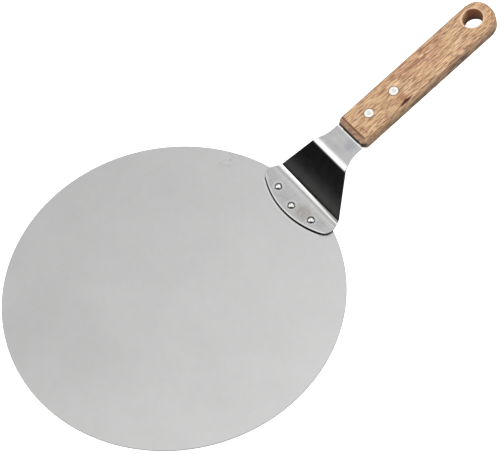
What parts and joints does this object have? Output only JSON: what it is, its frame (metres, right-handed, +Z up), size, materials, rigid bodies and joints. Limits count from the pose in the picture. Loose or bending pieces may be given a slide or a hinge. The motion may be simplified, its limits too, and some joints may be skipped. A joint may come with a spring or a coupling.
{
  "type": "cake lifter",
  "caption": "Large round flat steel blade on a cranked riveted shank with a wooden handle and hanging hole, for lifting and moving cakes.",
  "frame": {"origin": "centre of the round blade on its underside, on the surface that the lifter lies on", "axes": "+X along the handle's direction, away from the blade; +Y to the left when looking along +X; +Z up"},
  "size_m": [0.436, 0.255, 0.0846],
  "materials": {
    "blade": "matt brushed stainless steel sheet",
    "shank": "satin stainless steel plate, bent",
    "blade_rivet": "polished stainless steel",
    "handle": "sanded and lightly oiled hardwood",
    "handle_rivet": "sanded flush aluminium"
  },
  "bodies": {
    "root": {"blade": "blade", "shank": "shank", "blade_rivet_right": "blade_rivet", "blade_rivet_middle": "blade_rivet", "blade_rivet_left": "blade_rivet", "handle": "handle", "handle_rivet_front": "handle_rivet", "handle_rivet_rear": "handle_rivet"}
  },
  "joints": []
}
